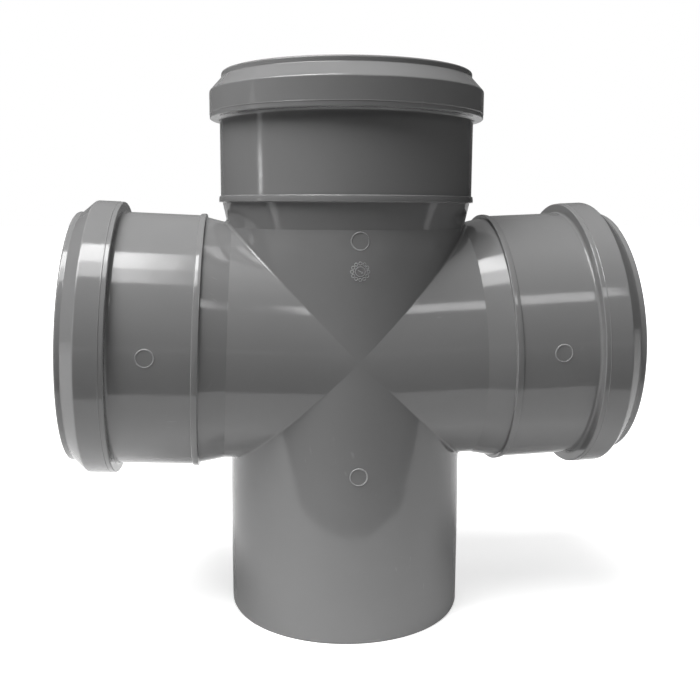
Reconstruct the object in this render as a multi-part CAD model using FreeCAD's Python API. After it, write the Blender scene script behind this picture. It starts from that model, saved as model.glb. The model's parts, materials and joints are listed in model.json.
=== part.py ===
"""Double branch drain fitting, in millimetres, +Z up the run.

One moulded plastic body: a straight run with a ring-seal socket at its top and a plain spigot
at its bottom, and two opposite branches, each with the same socket, that rise a little. A rubber
lip seal sits in the groove of each socket. The origin is the centre of the spigot's end, where
the fitting stands. The branches lie in the XZ plane.
"""
import FreeCAD, Part
import math
import os

Vector = FreeCAD.Vector
UP = Vector(0, 0, 1)
ACROSS = Vector(0, 1, 0)

# Pipe and walls
pipe_radius = 55.0
pipe_wall = 2.7
socket_fit = 0.35
socket_wall = 2.7

# Reach of each arm from the crossing of the axes, and the rise of the branches in degrees
spigot_reach = 125.5
top_reach = 124.9
branch_reach = 124.9
branch_rise = 2.5

# Rim, nose and collar of a socket
rim_wall = 1.85
rim_length = 2.6
nose_length = 6.0
collar_length = 12.0
collar_wall = 2.6
groove_depth = 4.75

# Depth of a socket, the stop for the pipe, and the bead and shoulder outside it
socket_depth = 56.5
bead_front = 55.0
bead_width = 2.8
bead_height = 0.8
shoulder_drop = 0.75
shoulder_length = 11.5

# Spigot, from its chamfered end to the slight taper that leads up to the slimmer barrels
spigot_chamfer = 0.5
spigot_chamfer_length = 1.2
spigot_straight = 58.0
barrel_slimming = 0.2
barrel_taper = 4.0

# Lip seal, as it lies against a pipe
seal_seat_gap = 0.1
seal_pipe_gap = 0.12
seal_play = 0.9

# Room by which the cutters run past the ends
cut_past = 1.0

# Radii that follow
waterway_radius = pipe_radius - pipe_wall
barrel_radius = pipe_radius - barrel_slimming
bore_radius = pipe_radius + socket_fit
socket_radius = bore_radius + socket_wall
rim_radius = bore_radius + rim_wall
groove_radius = bore_radius + groove_depth
collar_radius = groove_radius + collar_wall
bead_radius = socket_radius + bead_height
shoulder_radius = socket_radius - shoulder_drop

# Depths back from the rim that follow
collar_front = rim_length + nose_length
collar_back = collar_front + collar_length
groove_back = collar_back - collar_wall
bead_back = bead_front + bead_width
shoulder_back = bead_back + shoulder_length

# The groove's front runs parallel to the nose, one collar wall inside it
nose_rise = collar_radius - rim_radius
nose_slant = math.hypot(nose_rise, nose_length)
groove_front = rim_length + (collar_wall * nose_slant - rim_wall * nose_length) / nose_rise
depth_per_radius = nose_length / nose_rise
groove_full = groove_front + groove_depth * depth_per_radius


def turned(outline):
    """The solid that an outline of (radius, height) corners makes, turned about the Z axis."""
    corners = [Vector(radius, 0, height) for radius, height in outline]
    section = Part.Face(Part.makePolygon(corners + corners[:1]))
    return section.revolve(Vector(), UP, 360)


def socket_outside(reach):
    """Outside of a socket, from the shoulder behind it to the rim."""
    return [
        (barrel_radius, reach - shoulder_back),
        (shoulder_radius, reach - bead_back),
        (bead_radius, reach - bead_back),
        (bead_radius, reach - bead_front),
        (socket_radius, reach - bead_front),
        (socket_radius, reach - collar_back),
        (collar_radius, reach - collar_back),
        (collar_radius, reach - collar_front),
        (rim_radius, reach - rim_length),
        (rim_radius, reach),
        (0, reach),
    ]


def socket_inside(reach):
    """Room inside a socket, from the stop for the pipe out past the rim."""
    return [
        (waterway_radius, reach - socket_depth),
        (bore_radius, reach - socket_depth),
        (bore_radius, reach - groove_back),
        (groove_radius, reach - groove_back),
        (groove_radius, reach - groove_full),
        (bore_radius, reach - groove_front),
        (bore_radius, reach + cut_past),
        (0, reach + cut_past),
    ]


def run_outside():
    """The run, solid: the spigot, its chamfered end, the barrel and the top socket."""
    foot = [
        (0, -spigot_reach),
        (pipe_radius - spigot_chamfer, -spigot_reach),
        (pipe_radius, spigot_chamfer_length - spigot_reach),
        (pipe_radius, spigot_straight - spigot_reach),
        (barrel_radius, spigot_straight + barrel_taper - spigot_reach),
    ]
    return turned(foot + socket_outside(top_reach))


def run_inside():
    """The waterway of the run, out past both of its ends."""
    foot = [
        (0, -spigot_reach - cut_past),
        (waterway_radius, -spigot_reach - cut_past),
    ]
    return turned(foot + socket_inside(top_reach))


def branch_outside():
    """A branch, solid, standing up from the crossing of the axes."""
    return turned([(0, 0), (barrel_radius, 0)] + socket_outside(branch_reach))


def branch_inside():
    """The waterway of a branch, standing up from the crossing of the axes."""
    return turned([(0, 0), (waterway_radius, 0)] + socket_inside(branch_reach))


def leaned(shape, side):
    """A copy of an upright arm, leaned over to its side: -1 is left and +1 is right."""
    arm = shape.copy()
    arm.rotate(Vector(), ACROSS, side * (90 - branch_rise))
    return arm


def raised(shape):
    """The shape, lifted from the crossing of the axes so that the spigot's end is at zero."""
    shape.translate(UP * spigot_reach)
    return shape


def with_branches(run, branch):
    """The run fused with a branch on each side."""
    return run.fuse([leaned(branch, -1), leaned(branch, 1)]).removeSplitter()


def fitting_body():
    """The moulded body: the arms fused outside, then their waterways cut through them."""
    outside = with_branches(run_outside(), branch_outside())
    inside = with_branches(run_inside(), branch_inside())
    return raised(outside.cut(inside))


def seal(reach):
    """A seal in its groove, on the groove's back wall, with its lip pressed out flat by a pipe."""
    outer = groove_radius - seal_seat_gap
    inner = pipe_radius + seal_pipe_gap
    front = reach - groove_full - seal_play
    back = reach - groove_back
    return turned([
        (outer, back),
        (outer, front),
        (inner, front),
        (inner, back),
    ])


def write(name, shape):
    """Write one sub-part, once it is known to be sound."""
    if not shape.isValid():
        raise ValueError(name + " is not a valid shape")
    shape.exportStep("parts/" + name + ".step")
    print(name, "solids", len(shape.Solids), "volume", round(shape.Volume, 1))


def main():
    os.makedirs("parts", exist_ok=True)
    write("fitting_body", fitting_body())
    write("seal_top", raised(seal(top_reach)))
    write("seal_left", raised(leaned(seal(branch_reach), -1)))
    write("seal_right", raised(leaned(seal(branch_reach), 1)))


main()
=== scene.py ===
"""Looks of a grey plastic double branch drain fitting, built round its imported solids.

Lengths are in metres in the frame of the solids: the fitting stands on its spigot at the origin,
+Z runs up to the top socket, +X to the right branch, and -Y to the front.
"""
import json
import math

import bmesh
import bpy
import numpy as np
from bpy.props import FloatProperty, FloatVectorProperty, IntProperty, PointerProperty
from mathutils import Matrix, Vector


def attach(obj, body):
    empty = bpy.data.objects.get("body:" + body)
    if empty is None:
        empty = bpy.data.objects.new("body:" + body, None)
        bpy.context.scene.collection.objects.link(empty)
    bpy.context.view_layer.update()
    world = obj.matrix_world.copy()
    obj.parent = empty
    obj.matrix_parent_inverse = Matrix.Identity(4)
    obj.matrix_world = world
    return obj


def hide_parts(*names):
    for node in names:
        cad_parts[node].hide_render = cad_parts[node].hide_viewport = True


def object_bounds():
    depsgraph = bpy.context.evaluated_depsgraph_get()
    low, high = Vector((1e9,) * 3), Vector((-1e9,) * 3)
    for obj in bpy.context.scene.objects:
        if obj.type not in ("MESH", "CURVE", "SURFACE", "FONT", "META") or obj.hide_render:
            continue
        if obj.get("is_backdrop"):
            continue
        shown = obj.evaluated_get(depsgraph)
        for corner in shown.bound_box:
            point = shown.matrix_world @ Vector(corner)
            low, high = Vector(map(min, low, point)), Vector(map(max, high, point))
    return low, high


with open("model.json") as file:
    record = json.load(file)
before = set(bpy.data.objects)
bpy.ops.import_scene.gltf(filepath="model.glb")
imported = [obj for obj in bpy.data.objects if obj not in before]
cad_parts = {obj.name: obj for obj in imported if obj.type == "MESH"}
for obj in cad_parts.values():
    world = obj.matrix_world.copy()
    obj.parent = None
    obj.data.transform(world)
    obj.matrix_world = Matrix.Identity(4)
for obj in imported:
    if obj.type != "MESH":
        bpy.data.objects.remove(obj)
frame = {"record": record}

CAD_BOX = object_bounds()
SEATS = {mount["name"]: mount for mount in frame["record"]["mounts"]}
MM = 0.001

bl_info = {
    "name": "Double branch drain fitting",
    "version": (1, 0, 0),
    "blender": (4, 5, 0),
    "location": "3D View > Sidebar > Fitting",
    "description": "Builds the body, seals and mould marks of a double branch drain fitting",
    "category": "Object",
}


def seat_radius(name):
    """Radius of a place where a pipe seats, from the record."""
    return SEATS[name]["dims"]["r_mm"] / 1000


def length(name, description, default):
    """A length that a user may change, in metres."""
    return FloatProperty(
        name=name, description=description, default=default, unit="LENGTH", subtype="DISTANCE",
    )


def colour(name, description, default):
    """A colour that a user may change."""
    return FloatVectorProperty(
        name=name, description=description, default=default, size=3, min=0, max=1, subtype="COLOR",
    )


class FittingSizes(bpy.types.PropertyGroup):
    """Sizes of the fitting"""

    pipe_radius: length("Pipe radius", "Outside radius of the spigot", seat_radius("spigot"))
    bore_radius: length("Bore radius", "Inside radius of a socket", seat_radius("top_socket"))
    waterway_radius: length("Waterway radius", "Inside radius of the arms", 0.0523)
    barrel_radius: length("Barrel radius", "Outside radius of the arms behind their ends", 0.0548)
    socket_radius: length("Socket radius", "Outside radius of a socket's wall", 0.05805)
    collar_radius: length("Collar radius", "Outside radius of the collar over the seal", 0.06268)
    groove_radius: length("Groove radius", "Radius of the floor of the seal's groove", 0.0601)
    spigot_reach: length("Spigot reach", "From the crossing of the axes to its end", 0.1255)
    socket_reach: length("Socket reach", "From the crossing of the axes to a socket's rim", 0.1249)
    crotch_fillet: length("Crotch fillet", "Rounding where the arms meet outside", 0.0012)
    bore_fillet: length("Bore fillet", "Rounding where the waterways meet inside", 0.0005)
    branch_rise: FloatProperty(
        name="Branch rise", description="How far a branch rises above level",
        default=math.radians(2.5), unit="ROTATION", subtype="ANGLE",
    )
    columns: IntProperty(
        name="Columns", description="Columns of faces round an arm, a multiple of four",
        default=180, min=16,
    )
    parting_width: length("Parting line width", "Width of the ridge between mould halves", 0.0005)
    parting_height: length("Parting line height", "Height of that ridge", 0.00008)
    mark_radius: length("Mark radius", "Radius of the round ejector marks", 0.0037)
    mark_line: length("Mark line", "Half the width of a mark's raised line", 0.0003)
    dial_radius: length("Dial radius", "Radius of the circle of loops on the moulding dial", 0.0034)


class FittingFinish(bpy.types.PropertyGroup):
    """Colours and finish of the fitting"""

    plastic: colour("Plastic", "Grey of the moulded plastic", (0.21, 0.21, 0.2102))
    plastic_streak: colour(
        "Plastic streak", "Slightly lighter grey of the flow streaks in the plastic",
        (0.218, 0.218, 0.2182),
    )
    # Paler grey of rubbed edges and scuffs, also used as a painted highlight on rounded edges and
    # raised marks
    plastic_rubbed_and_highlit: colour(
        "Rubbed plastic", "Paler grey where edges and scuffs are rubbed", (0.42, 0.42, 0.421),
    )
    rubber: colour("Rubber", "Black of the seals", (0.012, 0.012, 0.013))
    gloss: FloatProperty(
        name="Roughness", description="Roughness of the plastic's moulded skin",
        default=0.1, min=0, max=1, subtype="FACTOR",
    )


# Arms and their outlines

# Places on a socket, in millimetres back from its rim
NOSE_FRONT = 2.6
COLLAR_FRONT = 8.6
LINE_FRONT, LINE_TOP_FRONT, LINE_TOP_BACK, LINE_BACK = 18.05, 18.2, 18.38, 18.6
COLLAR_BACK = 20.6
GROOVE_MOUTH, GROOVE_FRONT, GROOVE_BACK = 4.43, 9.61, 18.0
PIPE_STOP = 56.5
BEAD_FRONT, BEAD_MIDDLE, BEAD_BACK = 55.0, 56.4, 57.8
SHOULDER_BACK = 69.3
WATERWAY_START, BARREL_END = 70.0, 80.0

# Heights on a socket, in millimetres: the rim's wall, the fine line round the collar and the step
# down behind it, the bead's front edge and its top, and the shoulder's start below the wall
RIM_WALL = 1.85
LINE_HEIGHT, LINE_STEP = 0.05, 0.09
BEAD_EDGE, BEAD_HEIGHT = 0.6, 0.8
SHOULDER_DROP = 0.75

# Places on the spigot, in millimetres back from its end, its chamfer's depth and the rounding of
# its taper's corners
CHAMFER_BACK, TAPER_FRONT, TAPER_BACK = 1.2, 58.0, 69.0
SPIGOT_WATERWAY_START, SPIGOT_BARREL_END = 20.0, 80.0
CHAMFER_DEPTH = 0.5
TAPER_ROUNDING = 250.0

# A rounded edge has a face for every so many degrees that it turns, up to a number of faces, and is
# painted paler, as rubbing by handling and as a painted highlight, if it turns more than so many
# radians
EDGE_STEPS = 4
EDGE_STEP_TURN = 15
WORN_AND_HIGHLIT_TURN = 0.2


def arms(sizes):
    """The four arms: name, axis, a vector across it to one side, half the angle between the arm and
    its neighbour on that side and on the other, and the outline that it is turned from."""
    rise = sizes.branch_rise
    up, down = (math.pi / 2 - rise) / 2, (math.pi / 2 + rise) / 2
    cos, sin = math.cos(rise), math.sin(rise)
    socket, spigot = socket_outline(sizes), spigot_outline(sizes)
    return [
        ("top", (0, 0, 1), (1, 0, 0), up, up, socket),
        ("spigot", (0, 0, -1), (1, 0, 0), down, down, spigot),
        ("left", (-cos, 0, sin), (sin, 0, cos), up, down, socket),
        ("right", (cos, 0, sin), (-sin, 0, cos), up, down, socket),
    ]


def along_arm(reach, corners):
    """Corners of (depth back from an arm's end, radius, rounding), with depth and rounding in
    millimetres, as corners of (distance along the arm, radius, rounding), all in metres."""
    return [(reach - depth * MM, radius, rounding * MM) for depth, radius, rounding in corners]


def socket_outline(sizes):
    """Corners of a socket arm with their roundings, out of the waterway, over the rim and back
    along the outside to the barrel."""
    bore, wall = sizes.bore_radius, sizes.socket_radius
    rim, half_rim = bore + RIM_WALL * MM, RIM_WALL / 2
    collar = sizes.collar_radius - LINE_HEIGHT * MM
    return along_arm(sizes.socket_reach, [
        (WATERWAY_START, sizes.waterway_radius, 0),
        (PIPE_STOP, sizes.waterway_radius, 0.35),
        (PIPE_STOP, bore, 0.4),
        (GROOVE_BACK, bore, 0.35),
        (GROOVE_BACK, sizes.groove_radius, 0.5),
        (GROOVE_FRONT, sizes.groove_radius, 1.2),
        (GROOVE_MOUTH, bore, 0.8),
        (0, bore, half_rim),
        (0, rim, half_rim),
        (NOSE_FRONT, rim, 0.6),
        (COLLAR_FRONT, collar, 1.3),
        (LINE_FRONT, collar, 0.1),
        (LINE_TOP_FRONT, sizes.collar_radius, 0.08),
        (LINE_TOP_BACK, sizes.collar_radius, 0.08),
        (LINE_BACK, collar - LINE_STEP * MM, 0.1),
        (COLLAR_BACK, collar - LINE_STEP * MM, 0.5),
        (COLLAR_BACK, wall, 1.2),
        (BEAD_FRONT, wall, 0.15),
        (BEAD_FRONT, wall + BEAD_EDGE * MM, 0.4),
        (BEAD_MIDDLE, wall + BEAD_HEIGHT * MM, 4.0),
        (BEAD_BACK, wall + BEAD_HEIGHT * MM, 0.35),
        (BEAD_BACK, wall - SHOULDER_DROP * MM, 0.3),
        (SHOULDER_BACK, sizes.barrel_radius, 1.2),
        (BARREL_END, sizes.barrel_radius, 0),
    ])


def spigot_outline(sizes):
    """Corners of the spigot arm with their roundings, in the same order as a socket's."""
    return along_arm(sizes.spigot_reach, [
        (SPIGOT_WATERWAY_START, sizes.waterway_radius, 0),
        (0, sizes.waterway_radius, 0.3),
        (0, sizes.pipe_radius - CHAMFER_DEPTH * MM, 0.35),
        (CHAMFER_BACK, sizes.pipe_radius, 1.5),
        (TAPER_FRONT, sizes.pipe_radius, TAPER_ROUNDING),
        (TAPER_BACK, sizes.barrel_radius, TAPER_ROUNDING),
        (SPIGOT_BARREL_END, sizes.barrel_radius, 0),
    ])


def angle_between(first, last):
    """The angle between two unit vectors."""
    return math.acos(max(-1.0, min(1.0, float(first @ last))))


def rounded(corners):
    """Points along an outline of rounded corners, their outward normals, and how much paler they are
    painted, as rubbing and as a painted highlight.
    """
    points, normals, wear_and_highlight = [], [], []
    for before, here, after in zip(corners, corners[1:], corners[2:]):
        corner, rounding = np.array(here[:2]), here[2]
        back, on = np.array(before[:2]) - corner, np.array(after[:2]) - corner
        back, on = back / np.linalg.norm(back), on / np.linalg.norm(on)
        half = angle_between(back, on) / 2
        centre = corner + (back + on) / np.linalg.norm(back + on) * rounding / math.sin(half)
        first = (corner + back * rounding / math.tan(half) - centre) / rounding
        last = (corner + on * rounding / math.tan(half) - centre) / rounding
        outward = np.array((-back[1], back[0]))
        sign = 1.0 if first @ outward > 0 else -1.0
        turn = angle_between(first, last)
        steps = max(2, min(EDGE_STEPS, int(math.degrees(turn) / EDGE_STEP_TURN) + 1))
        worn_and_highlit = sign > 0 and turn > WORN_AND_HIGHLIT_TURN
        for i in range(steps + 1):
            share = i / steps
            way = math.sin((1 - share) * turn) * first + math.sin(share * turn) * last
            way = way / math.sin(turn)
            points.append(centre + way * rounding)
            normals.append(way * sign)
            wear_and_highlight.append(math.sin(math.pi * share) if worn_and_highlit else 0.0)
    return np.array(points), np.array(normals), np.array(wear_and_highlight)


# The moulded body

# Columns of faces across the parting line, and rows across the rounding between two arms
SEAM_COLUMNS = 4
CREASE_STEPS = 5
# Rows that the rounded rim takes before the outside of an arm can meet the crease
RIM_ROWS = 4
# How near to the crossing a shoulder has to end before the crease between two arms can cut it
SHOULDER_NEAR = 0.06
# How square a face has to look away from its arm's axis to carry the parting line
SEAM_FACING = 0.66
# Lengths and angles too small to count, and the distances for welding points and closing slivers
NO_COSINE, NO_LENGTH, NO_TURN = 1e-12, 1e-9, 1e-5
WELD, SLIVER = 1e-6, 1e-7


def crease(cosine, tangent, rounding, barrel, kink=None, slope=0.0):
    """Where the rounding between two arms touches an arm: distance, radius, and the parts of the
    outward normal along the arm and away from its axis. Beyond the kink the arm widens by the
    slope."""
    distance = (barrel + rounding) * cosine / tangent
    radius = np.full_like(distance, barrel)
    along, away = np.zeros_like(distance), np.ones_like(distance)
    if kink is not None:
        tilt = math.hypot(1, slope)
        far = (barrel - slope * kink + rounding / tilt) * cosine + rounding * slope / tilt * tangent
        far = np.maximum(far / (tangent - slope * cosine), kink)
        wide = distance > kink
        distance = np.where(wide, far, distance)
        radius = np.where(wide, barrel + slope * (far - kink), radius)
        along, away = np.where(wide, -slope / tilt, along), np.where(wide, 1 / tilt, away)
    return distance, radius, along, away


def columns_round(sizes):
    """Angle of each column round an arm, its height on the parting line, and how it leans there."""
    step = sizes.parting_width / SEAM_COLUMNS / sizes.barrel_radius
    half, reach = sizes.columns // 2, SEAM_COLUMNS // 2
    columns = [(i * math.pi / half, 0.0, 0.0) for i in range(sizes.columns) if i % half]
    for middle in (0, math.pi):
        for i in range(-reach, reach + 1):
            turn = middle + i * step
            lean = math.sin(turn) / math.sin(step) if abs(i) == 1 else 0.0
            columns.append((turn % (2 * math.pi), 1 - abs(i) / reach, lean))
    return np.array(sorted(columns)).T


def arm_rows(sizes, axis, side, half_on, half_off, outline, columns):
    """Rows of points round an arm from the crease between the waterways, out along the inside, over
    the end and back outside to the crease between the arms, with normals, paler paint for rubbing
    and painted highlight, and skin."""
    turns, stand, lean = columns
    axis, side, across = np.array(axis, float), np.array(side, float), np.array((0.0, 1.0, 0.0))
    cosine, sine = np.cos(turns), np.sin(turns)
    cosine[np.abs(cosine) < NO_COSINE] = 0
    facing = np.sign(cosine)[:, None] * side
    half = np.where(cosine >= 0, half_on, half_off)
    tangent, share = np.tan(half), np.abs(cosine)
    radial = share[:, None] * facing + sine[:, None] * across
    mirror = -np.sin(half)[:, None] * axis + np.cos(half)[:, None] * facing

    def blend(distance, radius, along, away, rounding, inside):
        """Rows of the rounding, from where it touches the arm to the plane between the arms."""
        outward = along[:, None] * axis + away[:, None] * radial
        centre = distance[:, None] * axis + radius[:, None] * radial + rounding * outward
        middle = -outward + np.sum(outward * mirror, 1)[:, None] * mirror
        middle = middle / np.maximum(np.linalg.norm(middle, axis=1), NO_LENGTH)[:, None]
        turn = np.arccos(np.clip(np.sum(-outward * middle, 1), -1, 1))[:, None]
        rows = []
        for i in range(CREASE_STEPS + 1):
            part = i / CREASE_STEPS
            way = np.sin((1 - part) * turn) * -outward + np.sin(part * turn) * middle
            way = np.where(turn > NO_TURN, way / np.maximum(np.sin(turn), NO_LENGTH), -outward)
            rows.append((centre + rounding * way, way if inside else -way))
        return rows

    kink, slope = None, 0.0
    (wide_at, wide, _), (narrow_at, narrow, _) = outline[-3:-1]
    if narrow < wide and narrow_at < SHOULDER_NEAR:
        kink, slope = narrow_at, (wide - narrow) / (wide_at - narrow_at)
    inner = crease(share, tangent, sizes.bore_fillet, sizes.waterway_radius)
    outer = crease(share, tangent, sizes.crotch_fillet, sizes.barrel_radius, kink, slope)
    inside = blend(*inner, sizes.bore_fillet, True)
    outside = blend(*outer, sizes.crotch_fillet, False)
    rows = [(place, way, 0.0, 0.0) for place, way in reversed(inside)]
    points, normals, wear_and_highlight = rounded(outline)
    tip = int(np.argmax(points[:, 0]))
    for i, (point, normal, worn_and_highlit) in enumerate(zip(points, normals, wear_and_highlight)):
        place = point[0] * axis + point[1] * radial
        way = normal[0] * axis + normal[1] * radial
        if i > tip + RIM_ROWS:
            short = (point[0] < outer[0])[:, None]
            place, way = np.where(short, outside[0][0], place), np.where(short, outside[0][1], way)
        rows.append((place, way, worn_and_highlit, 1.0 if i > tip else 0.0))
    rows += [(place, way, 0.0, 1.0) for place, way in outside]
    steep = sizes.parting_height * 2 / sizes.parting_width
    for place, way, worn_and_highlit, skin in rows:
        up = skin * (np.sum(way * radial, 1) > SEAM_FACING)
        tipped = way + (up * lean * steep)[:, None] * across
        tipped /= np.linalg.norm(tipped, axis=1)[:, None]
        yield place + (up * stand * sizes.parting_height)[:, None] * way, tipped, worn_and_highlit, skin


def body_mesh(sizes):
    """The whole body as one closed skin, each point with its paler paint for rubbing and painted
    highlight, and whether it is inside.
    """
    columns = columns_round(sizes)
    count = columns.shape[1]
    centre = np.array((0, 0, sizes.spigot_reach))
    places, ways, wear_and_highlight, skin, faces = [], [], [], [], []
    start = 0
    for _, axis, side, half_on, half_off, outline in arms(sizes):
        rows = list(arm_rows(sizes, axis, side, half_on, half_off, outline, columns))
        for place, way, worn_and_highlit, outside in rows:
            places.append(place + centre)
            ways.append(way)
            wear_and_highlight.append(np.full(count, worn_and_highlit))
            skin.append(np.full(count, outside))
        flip = np.linalg.det(np.array([side, (0, 1, 0), axis], float)) < 0
        for row in range(len(rows) - 1):
            for column in range(count):
                a = start + row * count + column
                b = start + row * count + (column + 1) % count
                quad = (a, a + count, b + count, b)
                faces.append(quad[::-1] if flip else quad)
        start += len(rows) * count
    mesh = bpy.data.meshes.new("fitting_body_skin")
    mesh.from_pydata(np.concatenate(places).tolist(), [], faces)
    way = mesh.attributes.new("way", "FLOAT_VECTOR", "POINT")
    way.data.foreach_set("vector", np.concatenate(ways).ravel())
    for name, values in (("wear_and_highlight", np.concatenate(wear_and_highlight)), ("inside", 1 - np.concatenate(skin))):
        mesh.attributes.new(name, "FLOAT", "POINT").data.foreach_set("value", values)
    return welded(mesh)


def welded(mesh):
    """The mesh with its doubles merged and its normals taken from the attribute that holds them."""
    work = bmesh.new()
    work.from_mesh(mesh)
    bmesh.ops.remove_doubles(work, verts=work.verts, dist=WELD)
    bmesh.ops.dissolve_degenerate(work, edges=work.edges, dist=SLIVER)
    work.to_mesh(mesh)
    work.free()
    ways = np.zeros(len(mesh.vertices) * 3, np.float32)
    mesh.attributes["way"].data.foreach_get("vector", ways)
    mesh.attributes.remove(mesh.attributes["way"])
    mesh.shade_smooth()
    mesh.normals_split_custom_set_from_vertices(ways.reshape(-1, 3).tolist())
    return mesh


def placed(name, mesh, material, *nodes, slot):
    """Add a piece that has the material, rides on the body and stands for the nodes, if any."""
    piece = bpy.data.objects.new(name, mesh)
    bpy.context.scene.collection.objects.link(piece)
    mesh.materials.clear()
    mesh.materials.append(material)
    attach(piece, "root")
    if nodes:
        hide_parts(*nodes)


class FITTING_OT_body(bpy.types.Operator):
    """Build the moulded body: run, branches, three sockets and the spigot"""

    bl_idname = "fitting.body"
    bl_label = "Moulded body"

    def execute(self, context):
        mesh = body_mesh(context.scene.fitting_sizes)
        material = plastic(context.scene.fitting_finish)
        placed("moulded_body", mesh, material, "fitting_body", slot="grey_plastic")
        return {"FINISHED"}


# Node trees


class Nodes:
    """A node tree, and a short way to add and join its nodes."""

    def __init__(self, tree):
        self.tree = tree

    def fill(self, node, inputs):
        """Set or join a node's inputs, each by its name or number."""
        for key, value in inputs.items():
            if isinstance(value, bpy.types.NodeSocket):
                self.tree.links.new(value, node.inputs[key])
            else:
                node.inputs[key].default_value = value
        return node

    def node(self, kind, inputs=None, **settings):
        """A new node with its settings and inputs."""
        made = self.tree.nodes.new(kind)
        for setting, value in settings.items():
            setattr(made, setting, value)
        return self.fill(made, inputs or {})

    def maths(self, operation, *values):
        """The result of a sum of values or sockets."""
        inputs = dict(enumerate(values))
        return self.node("ShaderNodeMath", operation=operation, inputs=inputs).outputs[0]

    def spread(self, value, source, target):
        """The value, carried from one range to another."""
        return self.node("ShaderNodeMapRange", inputs={
            "Value": value, "From Min": source[0], "From Max": source[1],
            "To Min": target[0], "To Max": target[1],
        }).outputs[0]


class Tree(Nodes):
    """A Geometry Nodes tree with named inputs, for plain meshes in one material."""

    # How much paler its meshes are painted, as rubbing and as a painted highlight: thin raised lines
    # get more than an edge, which has 1 at most
    wear_and_highlight = 4.0

    def __init__(self, name, inputs, material):
        group = bpy.data.node_groups.new(name, "GeometryNodeTree")
        group.is_modifier = True
        super().__init__(group)
        face = group.interface
        face.new_socket("Geometry", in_out="OUTPUT", socket_type="NodeSocketGeometry")
        face.new_socket("Geometry", in_out="INPUT", socket_type="NodeSocketGeometry")
        kinds = {int: "NodeSocketInt", float: "NodeSocketFloat", Vector: "NodeSocketVector"}
        self.sockets = {}
        for label, value in {**inputs, "Place": Vector(), "Turn": Vector()}.items():
            socket = face.new_socket(label, in_out="INPUT", socket_type=kinds[type(value)])
            socket.default_value = value
            self.sockets[label] = socket.identifier
        self.input = group.nodes.new("NodeGroupInput")
        self.output = group.nodes.new("NodeGroupOutput")
        self.material = material

    def value(self, label):
        """The group input of that name."""
        return self.input.outputs[label]

    def circle(self, steps, radius):
        """A round curve."""
        inputs = {"Resolution": steps, "Radius": radius}
        return self.node("GeometryNodeCurvePrimitiveCircle", inputs=inputs).outputs[0]

    def put(self, geometry):
        """The geometry, turned and then moved to its place."""
        place, turn = self.value("Place"), self.value("Turn")
        return self.node("GeometryNodeTransform", inputs={
            "Geometry": geometry, "Translation": place, "Rotation": turn,
        }).outputs[0]

    def finish(self, geometry):
        """Close the tree: smooth, real, painted paler as rubbing and as a painted highlight, and in
        its material.
        """
        smooth = self.node("GeometryNodeSetShadeSmooth", inputs={"Geometry": geometry})
        real = self.node("GeometryNodeRealizeInstances", inputs={"Geometry": smooth.outputs[0]})
        inputs = {"Geometry": real.outputs[0], "Name": "wear_and_highlight", "Value": self.wear_and_highlight}
        worn_and_highlit = self.node(
            "GeometryNodeStoreNamedAttribute", inputs, data_type="FLOAT", domain="POINT",
        )
        coated = self.node("GeometryNodeSetMaterial", inputs={
            "Geometry": worn_and_highlit.outputs[0], "Material": self.material,
        })
        self.tree.links.new(coated.outputs[0], self.output.inputs[0])

    def made(self, seed_mesh, **values):
        """The tree's plain mesh for a start mesh and values of its inputs."""
        holder = bpy.data.objects.new("holder", seed_mesh)
        bpy.context.scene.collection.objects.link(holder)
        modifier = holder.modifiers.new("tree", "NODES")
        modifier.node_group = self.tree
        for label, value in values.items():
            modifier[self.sockets[label.replace("_", " ").capitalize()]] = value
        bpy.context.view_layer.update()
        shown = holder.evaluated_get(bpy.context.evaluated_depsgraph_get())
        mesh = bpy.data.meshes.new_from_object(shown)
        holder.modifiers.clear()
        bpy.data.objects.remove(holder)
        return mesh


def joined(name, meshes):
    """One mesh of several."""
    work = bmesh.new()
    for mesh in meshes:
        work.from_mesh(mesh)
    whole = bpy.data.meshes.new(name)
    work.to_mesh(whole)
    work.free()
    whole.shade_smooth()
    return whole


# Seals

# Faces round a seal, and the points that smoothing puts between two corners of its section
SEAL_STEPS = 180
SEAL_SMOOTHING = 3

# Corners of a lip seal's section as (depth back from the socket's rim, radius), in millimetres: the
# ribbed back, the wall side, the lip's tip that lies on the pipe, and its slope
SEAL_SECTION = (
    (11.2, 59.97), (12.0, 59.97), (12.5, 59.65), (13.0, 59.65), (13.5, 59.97), (14.3, 59.97),
    (14.8, 59.65), (15.3, 59.65), (15.8, 59.97), (17.2, 59.97), (17.7, 59.8), (17.94, 59.3),
    (17.94, 58.2), (17.5, 57.9), (16.9, 57.5), (16.9, 56.9), (17.4, 56.3), (17.85, 55.8),
    (17.93, 55.4), (17.7, 55.17), (17.2, 55.17), (16.2, 55.35), (14.8, 55.75), (13.2, 56.1),
    (11.9, 56.5), (11.0, 57.1), (10.6, 57.9), (10.55, 58.8), (10.7, 59.6),
)


def seal_tree(sizes, material):
    """The tree that sweeps a closed section round a socket's groove."""
    tree = Tree("lip_seal", {
        "Ring radius": sizes.groove_radius, "Reach": sizes.socket_reach, "Steps round": SEAL_STEPS,
    }, material)
    section = tree.node("GeometryNodeMeshToCurve", inputs={"Mesh": tree.value("Geometry")})
    smooth = tree.node("GeometryNodeCurveSplineType", spline_type="CATMULL_ROM", inputs={
        "Curve": section.outputs[0],
    })
    finer = tree.node("GeometryNodeSetSplineResolution", inputs={
        "Geometry": smooth.outputs[0], "Resolution": SEAL_SMOOTHING,
    })
    ring = tree.circle(tree.value("Steps round"), tree.value("Ring radius"))
    swept = tree.node("GeometryNodeCurveToMesh", inputs={
        "Curve": ring, "Profile Curve": finer.outputs[0],
    })
    reach = tree.node("ShaderNodeCombineXYZ", inputs={"Z": tree.value("Reach")})
    out = tree.node("GeometryNodeTransform", inputs={
        "Geometry": swept.outputs[0], "Translation": reach.outputs[0],
    })
    tree.finish(tree.put(out.outputs[0]))
    return tree


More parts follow.
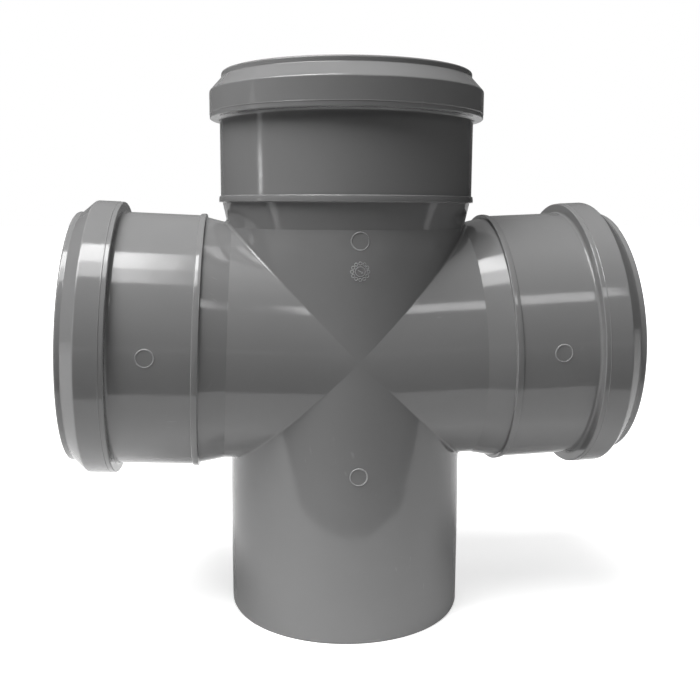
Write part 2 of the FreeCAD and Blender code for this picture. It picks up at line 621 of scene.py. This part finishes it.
class FITTING_OT_seals(bpy.types.Operator):
    """Build the rubber lip seal in each socket's groove"""

    bl_idname = "fitting.seals"
    bl_label = "Lip seals"

    def execute(self, context):
        sizes, material = context.scene.fitting_sizes, rubber(context.scene.fitting_finish)
        tree = seal_tree(sizes, material)
        groove = sizes.groove_radius
        points = [(radius * MM - groove, depth * MM, 0) for depth, radius in SEAL_SECTION]
        links = [(i, (i + 1) % len(points)) for i in range(len(points))]
        place = Vector((0, 0, sizes.spigot_reach))
        for name, axis, *_ in arms(sizes):
            if name == "spigot":
                continue
            seed = bpy.data.meshes.new("seal_section")
            seed.from_pydata(points, links, [])
            turn = Vector((0, 0, 1)).rotation_difference(Vector(axis)).to_euler()
            mesh = joined("lip_seal_" + name, [tree.made(seed, place=place, turn=Vector(turn))])
            placed("lip_seal_" + name, mesh, material, "seal_" + name, slot="black_rubber")
        return {"FINISHED"}


# Mould marks

# Faces round a raised line, and its height as a share of its width
LINE_SIDES = 8
LINE_RISE = 0.8
# Distance of each arm's ejector mark from the crossing of the axes, and faces round the mark
MARK_PLACES = {"top": 0.05105, "spigot": 0.0494, "left": 0.0885, "right": 0.0875}
MARK_STEPS = 56
# The dial's distance above the crossing, its loops, half the width of its lines, the radii of a
# loop and of the disc as shares of the circle of loops, and the faces round them
DIAL_PLACE = 0.0385
DIAL_LOOPS = 12
DIAL_LINE = 0.00022
LOOP_SHARE, DISC_SHARE = 0.19, 0.6
LOOP_STEPS, DISC_STEPS = 14, 36
# Strokes of the dial's pointer, its shaft first, and how much wider than the other lines they are
POINTER = (
    ((-0.0011, 0.00062, 0), (0.0011, -0.00062, 0)),
    ((0.0011, -0.00062, 0), (0.00045, -0.00078, 0)),
    ((0.0011, -0.00062, 0), (0.00078, 0.00002, 0)),
)
POINTER_WIDTH = 1.3


def on_arm(sizes, axis, distance):
    """Place and turn that lay a mark's Y along an arm and its Z to the front."""
    along, front = Vector(axis), Vector((0, -1, 0))
    turn = Matrix((along.cross(front), along, front)).transposed()
    return {
        "place": Vector((0, 0, sizes.spigot_reach)) + along * distance,
        "turn": Vector(turn.to_euler()),
    }


def wrapped(tree, geometry):
    """The flat mark, laid round a barrel of the tree's radius and then put on its arm."""
    where = tree.node("GeometryNodeInputPosition")
    parts = tree.node("ShaderNodeSeparateXYZ", inputs={0: where.outputs[0]})
    angle = tree.maths("DIVIDE", parts.outputs[0], tree.value("Barrel radius"))
    away = tree.maths("ADD", parts.outputs[2], tree.value("Barrel radius"))
    round_it = tree.node("ShaderNodeCombineXYZ", inputs={
        "X": tree.maths("MULTIPLY", away, tree.maths("SINE", angle)),
        "Y": parts.outputs[1],
        "Z": tree.maths("MULTIPLY", away, tree.maths("COSINE", angle)),
    })
    laid = tree.node("GeometryNodeSetPosition", inputs={
        "Geometry": geometry, "Position": round_it.outputs[0],
    })
    return tree.put(laid.outputs[0])


def raised_line(tree, curve, line):
    """A raised line of round section along a flat curve, a little lower than it is wide."""
    swept = tree.node("GeometryNodeCurveToMesh", inputs={
        "Curve": curve, "Profile Curve": tree.circle(LINE_SIDES, line), "Fill Caps": True,
    })
    return tree.node("GeometryNodeTransform", inputs={
        "Geometry": swept.outputs[0], "Scale": Vector((1, 1, LINE_RISE)),
    }).outputs[0]


def empty_mesh():
    """A start mesh with nothing in it."""
    return bpy.data.meshes.new("start")


class FITTING_OT_ejector_marks(bpy.types.Operator):
    """Build the raised rings that the ejector pins leave on the front of each arm"""

    bl_idname = "fitting.ejector_marks"
    bl_label = "Ejector marks"

    def execute(self, context):
        sizes, material = context.scene.fitting_sizes, plastic(context.scene.fitting_finish)
        tree = Tree("ejector_mark", {
            "Ring radius": sizes.mark_radius, "Line": sizes.mark_line,
            "Barrel radius": sizes.barrel_radius,
        }, material)
        ring = tree.circle(MARK_STEPS, tree.value("Ring radius"))
        tree.finish(wrapped(tree, raised_line(tree, ring, tree.value("Line"))))
        marks = []
        for name, axis, *_ in arms(sizes):
            radius = sizes.barrel_radius if name in ("top", "spigot") else sizes.socket_radius
            where = on_arm(sizes, axis, MARK_PLACES[name])
            marks.append(tree.made(empty_mesh(), barrel_radius=radius, **where))
        placed("ejector_marks", joined("ejector_marks", marks), material, slot="grey_plastic")
        return {"FINISHED"}


def dial_tree(sizes, material):
    """The tree of the dial: loops in a circle, and in their midst a disc with a pointer."""
    tree = Tree("moulding_dial", {
        "Dial radius": sizes.dial_radius, "Loops": DIAL_LOOPS, "Line": DIAL_LINE,
        "Barrel radius": sizes.barrel_radius,
    }, material)
    line, dial_radius = tree.value("Line"), tree.value("Dial radius")
    spots = tree.node("GeometryNodeMeshCircle", inputs={
        "Vertices": tree.value("Loops"), "Radius": dial_radius,
    })
    loop = tree.circle(LOOP_STEPS, tree.maths("MULTIPLY", dial_radius, LOOP_SHARE))
    loops = tree.node("GeometryNodeInstanceOnPoints", inputs={
        "Points": spots.outputs[0], "Instance": raised_line(tree, loop, line),
    })
    loose = tree.node("GeometryNodeRealizeInstances", inputs={"Geometry": loops.outputs[0]})
    disc = tree.circle(DISC_STEPS, tree.maths("MULTIPLY", dial_radius, DISC_SHARE))
    parts = [loose.outputs[0], raised_line(tree, disc, line)]
    for start, end in POINTER:
        stroke = tree.node("GeometryNodeCurvePrimitiveLine", inputs={"Start": start, "End": end})
        wider = tree.maths("MULTIPLY", line, POINTER_WIDTH)
        parts.append(raised_line(tree, stroke.outputs[0], wider))
    whole = tree.node("GeometryNodeJoinGeometry")
    for part in parts:
        tree.fill(whole, {0: part})
    tree.finish(wrapped(tree, whole.outputs[0]))
    return tree


class FITTING_OT_dial(bpy.types.Operator):
    """Build the small moulding dial on the front of the run: loops round a disc with a pointer"""

    bl_idname = "fitting.dial"
    bl_label = "Moulding dial"

    def execute(self, context):
        sizes, material = context.scene.fitting_sizes, plastic(context.scene.fitting_finish)
        tree = dial_tree(sizes, material)
        mesh = tree.made(empty_mesh(), **on_arm(sizes, (0, 0, 1), DIAL_PLACE))
        placed("moulding_dial", joined("moulding_dial", [mesh]), material, slot="grey_plastic")
        return {"FINISHED"}


# Finishes

# Waves of the moulded skin as (patches per metre, height): slow waves, ripples and orange peel
SKIN_WAVES = ((32, 0.00012), (95, 0.00003), (420, 0.0000025))
PLASTIC_IOR = 1.49
# How much rougher the plastic is where it is rubbed, and inside, where the mould isn't polished
RUBBED_ROUGHER, INSIDE_ROUGHER = 0.25, 0.08
# How much paler the bloom on the rubber is than the rubber
BLOOM_PALER = 2.2


class Paint(Nodes):
    """A new material's nodes, with its main shader and a short way to add patterns."""

    def __init__(self, name):
        self.material = bpy.data.materials.new(name)
        self.material.use_nodes = True
        super().__init__(self.material.node_tree)
        self.skin = self.tree.nodes["Principled BSDF"]

    def place(self):
        """The object's own coordinates."""
        return self.node("ShaderNodeTexCoord").outputs["Object"]

    def noise(self, place, patches, detail=2.0, roughness=0.5):
        """A cloudy pattern with so many patches per metre."""
        return self.node("ShaderNodeTexNoise", inputs={
            "Vector": place, "Scale": patches, "Detail": detail, "Roughness": roughness,
        }).outputs[0]

    def mixed(self, share, first, second):
        """A colour between two colours or sockets."""
        ends = [
            end if isinstance(end, bpy.types.NodeSocket) else (*end, 1) for end in (first, second)
        ]
        return self.node("ShaderNodeMix", data_type="RGBA", inputs={
            "Factor": share, "A": ends[0], "B": ends[1],
        }).outputs["Result"]

    def attribute(self, name):
        """A value that the mesh carries at each point, or nothing on a mesh without it."""
        return self.node("ShaderNodeAttribute", attribute_name=name).outputs["Fac"]

    def bumped(self, height, depth, share=1.0, under=None):
        """A normal from heights of that depth, laid over the normal beneath it."""
        inputs = {"Strength": share, "Distance": depth, "Height": height}
        if under is not None:
            inputs["Normal"] = under
        return self.node("ShaderNodeBump", inputs=inputs).outputs[0]


def plastic(finish):
    """Satin grey moulded plastic: faint flow streaks, fine orange peel, and edges and raised marks
    painted paler, partly as rubbing and partly as a painted highlight.
    """
    if "moulded_plastic" in bpy.data.materials:
        return bpy.data.materials["moulded_plastic"]
    paint = Paint("moulded_plastic")
    place = paint.place()
    streaks = paint.spread(paint.noise(place, 28, detail=4, roughness=0.55), (0.3, 0.7), (0, 1))
    grey = paint.mixed(streaks, finish.plastic, finish.plastic_streak)
    # Fine rubbed lines in a few patches, and rounded edges and raised marks painted paler, partly as
    # rubbing by handling and partly as a painted highlight
    drawn_out = paint.node("ShaderNodeMapping", inputs={
        "Vector": place, "Rotation": (0.5, 0.9, 0.3), "Scale": (1, 14, 1),
    })
    lines = paint.spread(paint.noise(drawn_out.outputs[0], 130), (0.68, 0.74), (0, 1))
    patches = paint.spread(paint.noise(place, 24), (0.58, 0.72), (0, 0.25))
    uneven = paint.spread(paint.noise(place, 70, detail=3), (0.35, 0.7), (0.03, 0.3))
    rubbed = paint.maths("MULTIPLY", lines, patches)
    # The paler grey on edges and marks is partly rubbing and partly a painted highlight
    edges = paint.maths("MULTIPLY", paint.attribute("wear_and_highlight"), uneven)
    worn_and_highlit = paint.maths("MAXIMUM", rubbed, edges)
    gloss = paint.spread(
        paint.noise(place, 220, detail=3), (0.3, 0.7), (finish.gloss - 0.02, finish.gloss + 0.03),
    )
    rough = paint.maths("MULTIPLY_ADD", worn_and_highlit, RUBBED_ROUGHER, gloss)
    rough = paint.maths("MULTIPLY_ADD", paint.attribute("inside"), INSIDE_ROUGHER, rough)
    surface = None
    for waves, height in SKIN_WAVES:
        surface = paint.bumped(paint.noise(place, waves), height, under=surface)
    paint.fill(paint.skin, {
        "Base Color": paint.mixed(worn_and_highlit, grey, finish.plastic_rubbed_and_highlit),
        "Roughness": rough,
        "Normal": surface,
        "IOR": PLASTIC_IOR,
    })
    return paint.material


def rubber(finish):
    """Black seal rubber with a faint grey bloom."""
    paint = Paint("seal_rubber")
    place = paint.place()
    bloom = paint.noise(place, 160, detail=4)
    pale = [min(1, part * BLOOM_PALER) for part in finish.rubber]
    paint.fill(paint.skin, {
        "Base Color": paint.mixed(paint.spread(bloom, (0.35, 0.75), (0, 1)), finish.rubber, pale),
        "Roughness": paint.spread(bloom, (0.3, 0.7), (0.42, 0.58)),
        "Normal": paint.bumped(paint.noise(place, 1800), 0.00002, share=0.3),
    })
    return paint.material


# Stage

# Wide glows of the studio as (azimuth, elevation, brightness), and how narrow they are
LOBES = ((0, 90, 0.95), (335, 48, 0.08), (180, 45, 0.3), (180, 8, 0.2))
LOBE_NARROWNESS = 8

# Height of the fitting's middle, which the panels face
MIDDLE_HEIGHT = 0.1255

# The floor's reach, and how its glow to the camera grows between two distances from the fitting
FLOOR_REACH = 9.0
GLOW_FROM, GLOW_TO = (0.5, 1.8), (0.62, 1.0)
# The dark card's reach, its edge before the fitting, and its height above the floor
CARD_REACH, CARD_EDGE, CARD_HEIGHT = 3.0, -0.178, 0.002

# The camera that was fitted to the circles and outlines in the photo
CAMERA_PLACE = (-0.046525, -0.420117, 0.189556)
CAMERA_TURN = (81.48541, -0.21632, -5.91447)
CAMERA_LENS, CAMERA_SENSOR, CAMERA_SHIFT = 45.773, 36, (0.01485, -0.01066)


def flat(name, left, right, front, back, height, material):
    """A level rectangular sheet of the stage."""
    mesh = bpy.data.meshes.new(name)
    corners = [(left, front), (right, front), (right, back), (left, back)]
    mesh.from_pydata([(x, y, height) for x, y in corners], [], [(0, 1, 2, 3)])
    mesh.materials.append(material)
    sheet = bpy.data.objects.new(name, mesh)
    bpy.context.scene.collection.objects.link(sheet)
    sheet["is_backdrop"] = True
    return sheet


def towards(azimuth, elevation):
    """The direction of that azimuth, with 0 to the front and 90 to the right, and elevation."""
    azimuth, elevation = math.radians(azimuth), math.radians(elevation)
    level = math.cos(elevation)
    return Vector((math.sin(azimuth) * level, -math.cos(azimuth) * level, math.sin(elevation)))


def lit(name, centre, target, wide, high, glow):
    """A rectangular area light that faces a point and glows that brightly."""
    data = bpy.data.lights.new(name, "AREA")
    data.shape, data.size, data.size_y = "RECTANGLE", wide, high
    # An area light of that power per area is as bright as the glow
    data.energy = glow * 4 * wide * high
    lamp = bpy.data.objects.new(name, data)
    lamp.location = centre
    lamp.rotation_euler = (target - centre).to_track_quat("-Z", "Y").to_euler()
    bpy.context.scene.collection.objects.link(lamp)
    return lamp


def panel(name, azimuth, elevation, far, wide, high, glow):
    """An area light in a direction from the fitting's middle, which it faces."""
    middle = Vector((0, 0, MIDDLE_HEIGHT))
    lit(name, middle + towards(azimuth, elevation) * far, middle, wide, high, glow)


def skylight(name, left, right, front, back, high, glow, fade):
    """A level window of soft light that fades to nothing at its right-hand edge."""
    centre = Vector(((left + right) / 2, (front + back) / 2, high))
    below = Vector((centre.x, centre.y, 0))
    data = lit(name, centre, below, right - left, back - front, glow).data
    data.use_nodes = True
    nodes = Nodes(data.node_tree)
    point = nodes.node("ShaderNodeNewGeometry").outputs["Position"]
    place = nodes.node("ShaderNodeSeparateXYZ", inputs={0: point})
    strength = nodes.spread(place.outputs[0], (right, right - fade), (0, 1))
    nodes.fill(data.node_tree.nodes["Emission"], {"Strength": strength})


def studio_world():
    """A studio of wide soft glows, and plain white to the camera."""
    world = bpy.data.worlds.new("studio")
    world.use_nodes = True
    nodes = Nodes(world.node_tree)
    way = nodes.node("ShaderNodeTexCoord").outputs["Generated"]
    lobes = []
    for azimuth, elevation, glow in LOBES:
        near = nodes.node("ShaderNodeVectorMath", operation="DOT_PRODUCT", inputs={
            0: way, 1: towards(azimuth, elevation),
        })
        power = math.log(glow) - LOBE_NARROWNESS
        shape = nodes.maths("MULTIPLY_ADD", near.outputs["Value"], LOBE_NARROWNESS, power)
        lobes.append(nodes.maths("EXPONENT", shape))
    total = lobes[0]
    for lobe in lobes[1:]:
        total = nodes.maths("ADD", total, lobe)
    white = (1, 1, 1, 1)
    glow = nodes.fill(world.node_tree.nodes["Background"], {"Color": white, "Strength": total})
    plain = nodes.node("ShaderNodeBackground", inputs={"Color": white})
    choice = nodes.node("ShaderNodeMixShader", inputs={
        0: nodes.node("ShaderNodeLightPath").outputs["Is Camera Ray"],
        1: glow.outputs[0],
        2: plain.outputs[0],
    })
    nodes.fill(world.node_tree.nodes["World Output"], {"Surface": choice.outputs[0]})
    return world


def lay_floor():
    """Lay the pale sheet that the fitting stands on, and the dark card before it."""
    paint = Paint("pale_floor")
    # A little glow, to the camera alone, carries the sheet off into the white behind it
    reach = paint.node("ShaderNodeVectorMath", operation="LENGTH", inputs={0: paint.place()})
    glow = paint.spread(reach.outputs["Value"], GLOW_FROM, GLOW_TO)
    seen = paint.node("ShaderNodeLightPath").outputs["Is Camera Ray"]
    paint.fill(paint.skin, {
        "Base Color": (0.9, 0.9, 0.9, 1),
        "Roughness": 0.6,
        "Emission Color": (1, 1, 1, 1),
        "Emission Strength": paint.maths("MULTIPLY", glow, seen),
    })
    flat("floor", -FLOOR_REACH, FLOOR_REACH, -FLOOR_REACH, FLOOR_REACH, 0, paint.material)
    # The card darkens what the fitting's front mirrors, and neither shows nor casts a shadow
    paint = Paint("dark_card")
    paint.fill(paint.skin, {"Base Color": (0.02, 0.02, 0.02, 1), "Roughness": 1})
    card = flat(
        "dark_card", -CARD_REACH, CARD_REACH, -CARD_REACH, CARD_EDGE, CARD_HEIGHT, paint.material,
    )
    card.visible_camera = card.visible_shadow = False


def set_lights():
    """Hang the windows and panels whose reflections the photo shows."""
    skylight(
        "skylight", left=-3.5, right=-0.08, front=-2.65, back=-0.235, high=8.0, glow=11.0, fade=0.78,
    )
    skylight(
        "skylight_front", left=-3.5, right=-0.08, front=-5.1, back=-2.65, high=8.0, glow=5.4,
        fade=0.78,
    )
    panel("strip_light", azimuth=17, elevation=38.5, far=6, wide=1.9, high=0.786, glow=4.3)
    panel("softbox", azimuth=-64, elevation=52, far=1.5, wide=0.8, high=0.6, glow=7.6)
    skylight(
        "softbox_left", left=-1.6, right=-0.3, front=-0.7, back=0.7, high=1.2, glow=0.7, fade=0.9,
    )
    panel("slit_light", azimuth=-87.5, elevation=2.9, far=6, wide=0.46, high=0.31, glow=6)
    panel("slit_light_top", azimuth=-87.5, elevation=6.4, far=6, wide=0.46, high=0.42, glow=0.9)


def set_camera(scene):
    """Set the camera of the photo."""
    eye = bpy.data.cameras.new("photo_camera")
    eye.sensor_width, eye.lens = CAMERA_SENSOR, CAMERA_LENS
    eye.shift_x, eye.shift_y = CAMERA_SHIFT
    camera = bpy.data.objects.new("photo_camera", eye)
    camera.location = CAMERA_PLACE
    camera.rotation_euler = [math.radians(angle) for angle in CAMERA_TURN]
    scene.collection.objects.link(camera)
    scene.camera = camera


class FITTING_OT_stage(bpy.types.Operator):
    """Set the pale floor, the soft lights and the camera round the fitting"""

    bl_idname = "fitting.stage"
    bl_label = "Stage, lights and camera"

    def execute(self, context):
        lay_floor()
        context.scene.world = studio_world()
        set_lights()
        context.scene.view_settings.view_transform = "Standard"
        set_camera(context.scene)
        return {"FINISHED"}


class FITTING_PT_panel(bpy.types.Panel):
    """Sidebar panel of the fitting"""

    bl_idname = "FITTING_PT_panel"
    bl_label = "Double branch fitting"
    bl_space_type = "VIEW_3D"
    bl_region_type = "UI"
    bl_category = "Fitting"

    def draw(self, context):
        for group in (context.scene.fitting_sizes, context.scene.fitting_finish):
            for name in group.__annotations__:
                self.layout.prop(group, name)
        for step in STEPS:
            self.layout.operator(step.bl_idname)


STEPS = (
    FITTING_OT_body, FITTING_OT_seals, FITTING_OT_ejector_marks, FITTING_OT_dial, FITTING_OT_stage,
)
CLASSES = (FittingSizes, FittingFinish, *STEPS, FITTING_PT_panel)


def register():
    """Add the classes and the settings to Blender."""
    for kind in CLASSES:
        bpy.utils.register_class(kind)
    bpy.types.Scene.fitting_sizes = PointerProperty(type=FittingSizes)
    bpy.types.Scene.fitting_finish = PointerProperty(type=FittingFinish)


def unregister():
    """Take the classes and the settings out again."""
    del bpy.types.Scene.fitting_finish, bpy.types.Scene.fitting_sizes
    for kind in reversed(CLASSES):
        bpy.utils.unregister_class(kind)


def main():
    """Build the fitting and its stage, then measure how large it is beside its solids."""
    register()
    for step in STEPS:
        group, name = step.bl_idname.split(".")
        if getattr(getattr(bpy.ops, group), name)() != {"FINISHED"}:
            raise RuntimeError(step.bl_label + " was not finished")
    boxes = {"cad": CAD_BOX, "visual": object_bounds()}
    {name: [list(corner) for corner in box] for name, box in boxes.items()}


if __name__ == "__main__":
    main()
